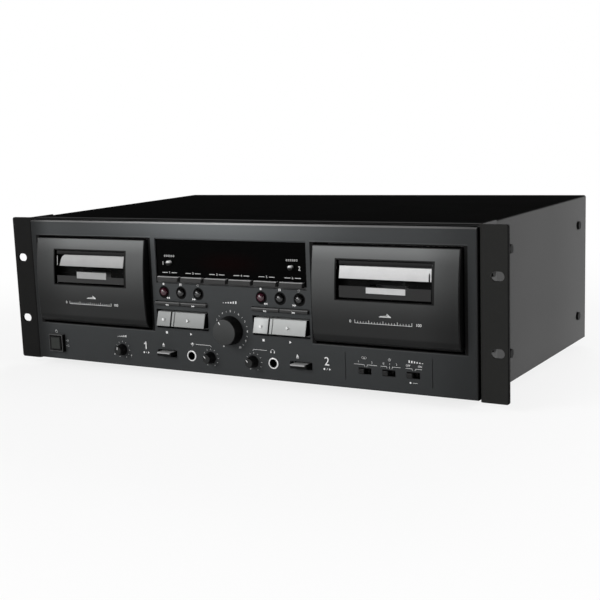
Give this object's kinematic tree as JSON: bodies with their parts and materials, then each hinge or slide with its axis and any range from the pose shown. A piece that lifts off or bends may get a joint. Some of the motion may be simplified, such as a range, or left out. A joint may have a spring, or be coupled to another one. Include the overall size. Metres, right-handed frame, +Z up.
{
  "type": "double cassette deck",
  "caption": "Rack-mount double cassette deck with two hinged cassette doors, transport keys, round buttons, level knobs and slotted rack ears.",
  "frame": {"origin": "under the middle of the deck, at the underside of its feet", "axes": "+X to the right seen from the front, the front faces -Y, +Z up"},
  "size_m": [0.4826, 0.2816, 0.138],
  "materials": {
    "case_black": "fine black powder coat, semi-gloss",
    "ear_black": "satin black paint",
    "screw_black": "blackened steel",
    "foot_rubber": "matt",
    "panel_grey": "satin dark blue-grey",
    "smoked_plastic": "polished smoked black",
    "frame_steel": "zinc plated",
    "knob_black": "satin black",
    "jack_ring": "bright nickel",
    "board_green": "solder mask",
    "core_iron": "varnished laminations",
    "jack_black": "moulded",
    "button_black": "moulded",
    "key_dark": "moulded dark grey",
    "slide_black": "moulded",
    "door_grey": "satin dark grey",
    "lens_clear": "clear acrylic",
    "holder_black": "moulded",
    "spindle_black": "moulded",
    "capstan_steel": "ground",
    "button_red": "moulded dark red",
    "button_dark": "moulded dark grey",
    "button_light": "moulded light grey",
    "key_light": "moulded light grey"
  },
  "bodies": {
    "case": {"top_cover": "case_black", "chassis_pan": "case_black", "rack_ear_left": "ear_black", "rack_ear_right": "ear_black", "case_screws": "screw_black", "feet": "foot_rubber", "front_panel": "panel_grey", "display_window": "smoked_plastic", "transport_frames": "frame_steel", "front_jacks": "jack_ring", "circuit_boards": "board_green", "power_transformer": "core_iron", "line_jacks": "jack_black", "mains_inlet": "jack_black"},
    "cassette_door_1": {"door_1": "door_grey", "door_window_1": "lens_clear", "cassette_holder_1": "holder_black"},
    "record_button_1": {"record_button_1": "button_red"},
    "pause_button_1": {"pause_button_1": "button_dark"},
    "mute_button_1": {"mute_button_1": "button_dark"},
    "reset_button_1": {"reset_button_1": "button_light"},
    "rewind_key_1": {"rewind_key_1": "key_dark"},
    "forward_key_1": {"forward_key_1": "key_dark"},
    "stop_key_1": {"stop_key_1": "key_light"},
    "play_key_1": {"play_key_1": "key_light"},
    "eject_lever_1": {"eject_lever_1": "key_dark"},
    "supply_spindle_1": {"supply_spindle_1": "spindle_black"},
    "take_up_spindle_1": {"take_up_spindle_1": "spindle_black"},
    "capstan_1": {"capstan_1": "capstan_steel"},
    "head_bridge_1": {"head_bridge_1": "capstan_steel"},
    "cassette_door_2": {"door_2": "door_grey", "door_window_2": "lens_clear", "cassette_holder_2": "holder_black"},
    "record_button_2": {"record_button_2": "button_red"},
    "pause_button_2": {"pause_button_2": "button_dark"},
    "mute_button_2": {"mute_button_2": "button_dark"},
    "reset_button_2": {"reset_button_2": "button_light"},
    "rewind_key_2": {"rewind_key_2": "key_dark"},
    "forward_key_2": {"forward_key_2": "key_dark"},
    "stop_key_2": {"stop_key_2": "key_light"},
    "play_key_2": {"play_key_2": "key_light"},
    "eject_lever_2": {"eject_lever_2": "key_dark"},
    "supply_spindle_2": {"supply_spindle_2": "spindle_black"},
    "take_up_spindle_2": {"take_up_spindle_2": "spindle_black"},
    "capstan_2": {"capstan_2": "capstan_steel"},
    "head_bridge_2": {"head_bridge_2": "capstan_steel"},
    "display_key_1": {"display_key_1": "key_dark"},
    "display_key_2": {"display_key_2": "key_dark"},
    "display_key_3": {"display_key_3": "key_dark"},
    "display_key_4": {"display_key_4": "key_dark"},
    "display_key_5": {"display_key_5": "key_dark"},
    "display_key_6": {"display_key_6": "key_dark"},
    "power_button": {"power_button": "button_black"},
    "record_level_knob": {"record_level_knob": "knob_black"},
    "mic_level_knob": {"mic_level_knob": "knob_black"},
    "phones_level_knob": {"phones_level_knob": "knob_black"},
    "pitch_knob": {"pitch_knob": "knob_black"},
    "slide_switch_1": {"slide_switch_1": "slide_black"},
    "slide_switch_2": {"slide_switch_2": "slide_black"},
    "slide_switch_3": {"slide_switch_3": "slide_black"}
  },
  "joints": [
    {"name": "cassette_door_1_hinge", "type": "hinge", "parent": "case", "child": "cassette_door_1", "pos_m": [-0.145, -0.12825, 0.0452], "axis": [1, 0, 0], "range_deg": [0, 28]},
    {"name": "record_button_1_press", "type": "slide", "parent": "case", "child": "record_button_1", "axis": [0, 1, 0], "range_m": [0, 0.0012], "stiffness_N_per_m": 250, "springref_m": -0.001},
    {"name": "pause_button_1_press", "type": "slide", "parent": "case", "child": "pause_button_1", "axis": [0, 1, 0], "range_m": [0, 0.0012], "stiffness_N_per_m": 250, "springref_m": -0.001},
    {"name": "mute_button_1_press", "type": "slide", "parent": "case", "child": "mute_button_1", "axis": [0, 1, 0], "range_m": [0, 0.0012], "stiffness_N_per_m": 250, "springref_m": -0.001},
    {"name": "reset_button_1_press", "type": "slide", "parent": "case", "child": "reset_button_1", "axis": [0, 1, 0], "range_m": [0, 0.0012], "stiffness_N_per_m": 250, "springref_m": -0.001},
    {"name": "rewind_key_1_press", "type": "slide", "parent": "case", "child": "rewind_key_1", "axis": [0, 1, 0], "range_m": [0, 0.0012], "stiffness_N_per_m": 350, "springref_m": -0.001},
    {"name": "forward_key_1_press", "type": "slide", "parent": "case", "child": "forward_key_1", "axis": [0, 1, 0], "range_m": [0, 0.0012], "stiffness_N_per_m": 350, "springref_m": -0.001},
    {"name": "stop_key_1_press", "type": "slide", "parent": "case", "child": "stop_key_1", "axis": [0, 1, 0], "range_m": [0, 0.0012], "stiffness_N_per_m": 350, "springref_m": -0.001},
    {"name": "play_key_1_press", "type": "slide", "parent": "case", "child": "play_key_1", "axis": [0, 1, 0], "range_m": [0, 0.0012], "stiffness_N_per_m": 350, "springref_m": -0.001},
    {"name": "eject_lever_1_press", "type": "slide", "parent": "case", "child": "eject_lever_1", "axis": [0, 1, 0], "range_m": [0, 0.0025], "stiffness_N_per_m": 400, "springref_m": -0.001},
    {"name": "supply_spindle_1_turn", "type": "hinge", "parent": "case", "child": "supply_spindle_1", "pos_m": [-0.16625, -0.13025, 0.0872], "axis": [0, 1, 0], "continuous": true},
    {"name": "take_up_spindle_1_turn", "type": "hinge", "parent": "case", "child": "take_up_spindle_1", "pos_m": [-0.12375, -0.13025, 0.0872], "axis": [0, 1, 0], "continuous": true},
    {"name": "capstan_1_turn", "type": "hinge", "parent": "case", "child": "capstan_1", "pos_m": [-0.113, -0.13025, 0.0606], "axis": [0, 1, 0], "continuous": true},
    {"name": "head_bridge_1_lift", "type": "slide", "parent": "case", "child": "head_bridge_1", "axis": [0, 0, 1], "range_m": [0, 0.006], "stiffness_N_per_m": 150, "springref_m": -0.002},
    {"name": "cassette_door_2_hinge", "type": "hinge", "parent": "case", "child": "cassette_door_2", "pos_m": [0.145, -0.12825, 0.0452], "axis": [1, 0, 0], "range_deg": [0, 28]},
    {"name": "record_button_2_press", "type": "slide", "parent": "case", "child": "record_button_2", "axis": [0, 1, 0], "range_m": [0, 0.0012], "stiffness_N_per_m": 250, "springref_m": -0.001},
    {"name": "pause_button_2_press", "type": "slide", "parent": "case", "child": "pause_button_2", "axis": [0, 1, 0], "range_m": [0, 0.0012], "stiffness_N_per_m": 250, "springref_m": -0.001},
    {"name": "mute_button_2_press", "type": "slide", "parent": "case", "child": "mute_button_2", "axis": [0, 1, 0], "range_m": [0, 0.0012], "stiffness_N_per_m": 250, "springref_m": -0.001},
    {"name": "reset_button_2_press", "type": "slide", "parent": "case", "child": "reset_button_2", "axis": [0, 1, 0], "range_m": [0, 0.0012], "stiffness_N_per_m": 250, "springref_m": -0.001},
    {"name": "rewind_key_2_press", "type": "slide", "parent": "case", "child": "rewind_key_2", "axis": [0, 1, 0], "range_m": [0, 0.0012], "stiffness_N_per_m": 350, "springref_m": -0.001},
    {"name": "forward_key_2_press", "type": "slide", "parent": "case", "child": "forward_key_2", "axis": [0, 1, 0], "range_m": [0, 0.0012], "stiffness_N_per_m": 350, "springref_m": -0.001},
    {"name": "stop_key_2_press", "type": "slide", "parent": "case", "child": "stop_key_2", "axis": [0, 1, 0], "range_m": [0, 0.0012], "stiffness_N_per_m": 350, "springref_m": -0.001},
    {"name": "play_key_2_press", "type": "slide", "parent": "case", "child": "play_key_2", "axis": [0, 1, 0], "range_m": [0, 0.0012], "stiffness_N_per_m": 350, "springref_m": -0.001},
    {"name": "eject_lever_2_press", "type": "slide", "parent": "case", "child": "eject_lever_2", "axis": [0, 1, 0], "range_m": [0, 0.0025], "stiffness_N_per_m": 400, "springref_m": -0.001},
    {"name": "supply_spindle_2_turn", "type": "hinge", "parent": "case", "child": "supply_spindle_2", "pos_m": [0.12375, -0.13025, 0.0872], "axis": [0, 1, 0], "continuous": true},
    {"name": "take_up_spindle_2_turn", "type": "hinge", "parent": "case", "child": "take_up_spindle_2", "pos_m": [0.16625, -0.13025, 0.0872], "axis": [0, 1, 0], "continuous": true},
    {"name": "capstan_2_turn", "type": "hinge", "parent": "case", "child": "capstan_2", "pos_m": [0.177, -0.13025, 0.0606], "axis": [0, 1, 0], "continuous": true},
    {"name": "head_bridge_2_lift", "type": "slide", "parent": "case", "child": "head_bridge_2", "axis": [0, 0, 1], "range_m": [0, 0.006], "stiffness_N_per_m": 150, "springref_m": -0.002},
    {"name": "display_key_1_press", "type": "slide", "parent": "case", "child": "display_key_1", "axis": [0, 1, 0], "range_m": [0, 0.0012], "stiffness_N_per_m": 250, "springref_m": -0.001},
    {"name": "display_key_2_press", "type": "slide", "parent": "case", "child": "display_key_2", "axis": [0, 1, 0], "range_m": [0, 0.0012], "stiffness_N_per_m": 250, "springref_m": -0.001},
    {"name": "display_key_3_press", "type": "slide", "parent": "case", "child": "display_key_3", "axis": [0, 1, 0], "range_m": [0, 0.0012], "stiffness_N_per_m": 250, "springref_m": -0.001},
    {"name": "display_key_4_press", "type": "slide", "parent": "case", "child": "display_key_4", "axis": [0, 1, 0], "range_m": [0, 0.0012], "stiffness_N_per_m": 250, "springref_m": -0.001},
    {"name": "display_key_5_press", "type": "slide", "parent": "case", "child": "display_key_5", "axis": [0, 1, 0], "range_m": [0, 0.0012], "stiffness_N_per_m": 250, "springref_m": -0.001},
    {"name": "display_key_6_press", "type": "slide", "parent": "case", "child": "display_key_6", "axis": [0, 1, 0], "range_m": [0, 0.0012], "stiffness_N_per_m": 250, "springref_m": -0.001},
    {"name": "power_button_press", "type": "slide", "parent": "case", "child": "power_button", "axis": [0, 1, 0], "range_m": [0, 0.003], "stiffness_N_per_m": 500, "springref_m": -0.001},
    {"name": "record_level_knob_turn", "type": "hinge", "parent": "case", "child": "record_level_knob", "pos_m": [0, -0.13025, 0.0461], "axis": [0, 1, 0], "range_deg": [-105, 195]},
    {"name": "mic_level_knob_turn", "type": "hinge", "parent": "case", "child": "mic_level_knob", "pos_m": [-0.0213, -0.13025, 0.0212], "axis": [0, 1, 0], "range_deg": [-110, 190]},
    {"name": "phones_level_knob_turn", "type": "hinge", "parent": "case", "child": "phones_level_knob", "pos_m": [0.0213, -0.13025, 0.0212], "axis": [0, 1, 0], "range_deg": [-110, 190]},
    {"name": "pitch_knob_turn", "type": "hinge", "parent": "case", "child": "pitch_knob", "pos_m": [-0.117, -0.13025, 0.0212], "axis": [0, 1, 0], "range_deg": [-150, 150]},
    {"name": "slide_switch_1_slide", "type": "slide", "parent": "case", "child": "slide_switch_1", "axis": [1, 0, 0], "range_m": [0, 0.0052]},
    {"name": "slide_switch_2_slide", "type": "slide", "parent": "case", "child": "slide_switch_2", "axis": [1, 0, 0], "range_m": [0, 0.0052]},
    {"name": "slide_switch_3_slide", "type": "slide", "parent": "case", "child": "slide_switch_3", "axis": [1, 0, 0], "range_m": [0, 0.0052]}
  ]
}
